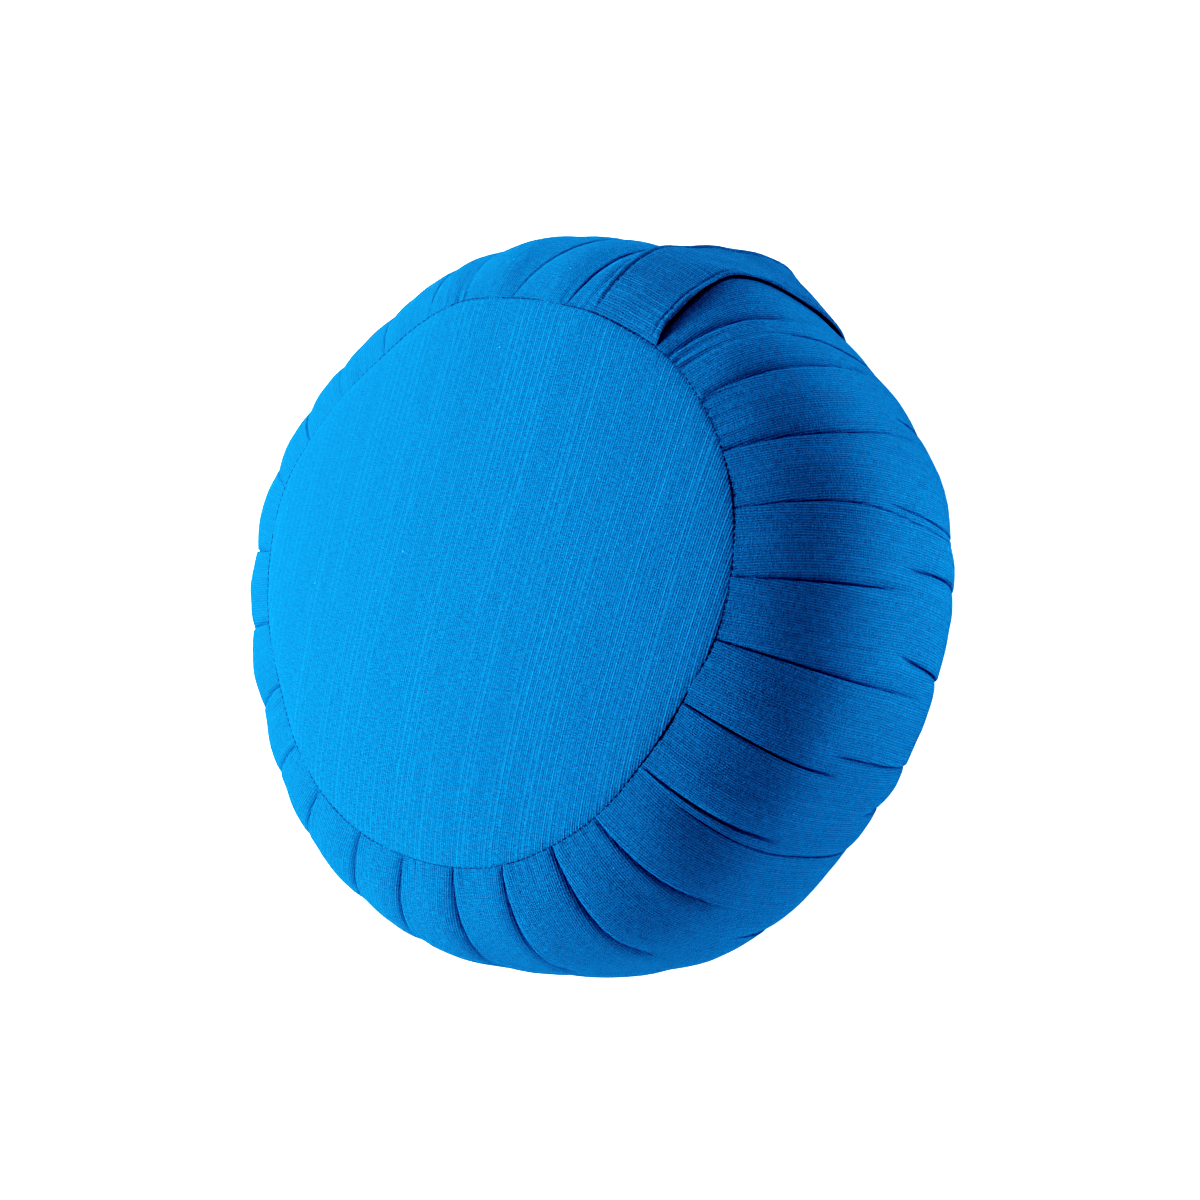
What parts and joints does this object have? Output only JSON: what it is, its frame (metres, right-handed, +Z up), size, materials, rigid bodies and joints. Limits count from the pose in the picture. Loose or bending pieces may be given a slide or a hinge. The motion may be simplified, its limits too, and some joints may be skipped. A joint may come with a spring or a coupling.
{
  "type": "zafu meditation cushion",
  "caption": "Round, firmly filled floor cushion with a crowned panel on each face, a pleated bulging side and a short carry strap across the side.",
  "frame": {"origin": "centre of the flat that the lower panel rests on", "axes": "+Z up out of the upper panel, -Y towards the carry strap"},
  "size_m": [0.3307, 0.3384, 0.1762],
  "materials": {
    "panel_cloth": "matt slub-weave cotton, saturated blue",
    "side_cloth": "matt slub-weave cotton, saturated blue, pleated",
    "handle_cloth": "matt slub-weave cotton, saturated blue, folded double and topstitched"
  },
  "bodies": {
    "root": {"top_panel": "panel_cloth", "bottom_panel": "panel_cloth", "pleated_side": "side_cloth", "carry_handle": "handle_cloth"}
  },
  "joints": []
}
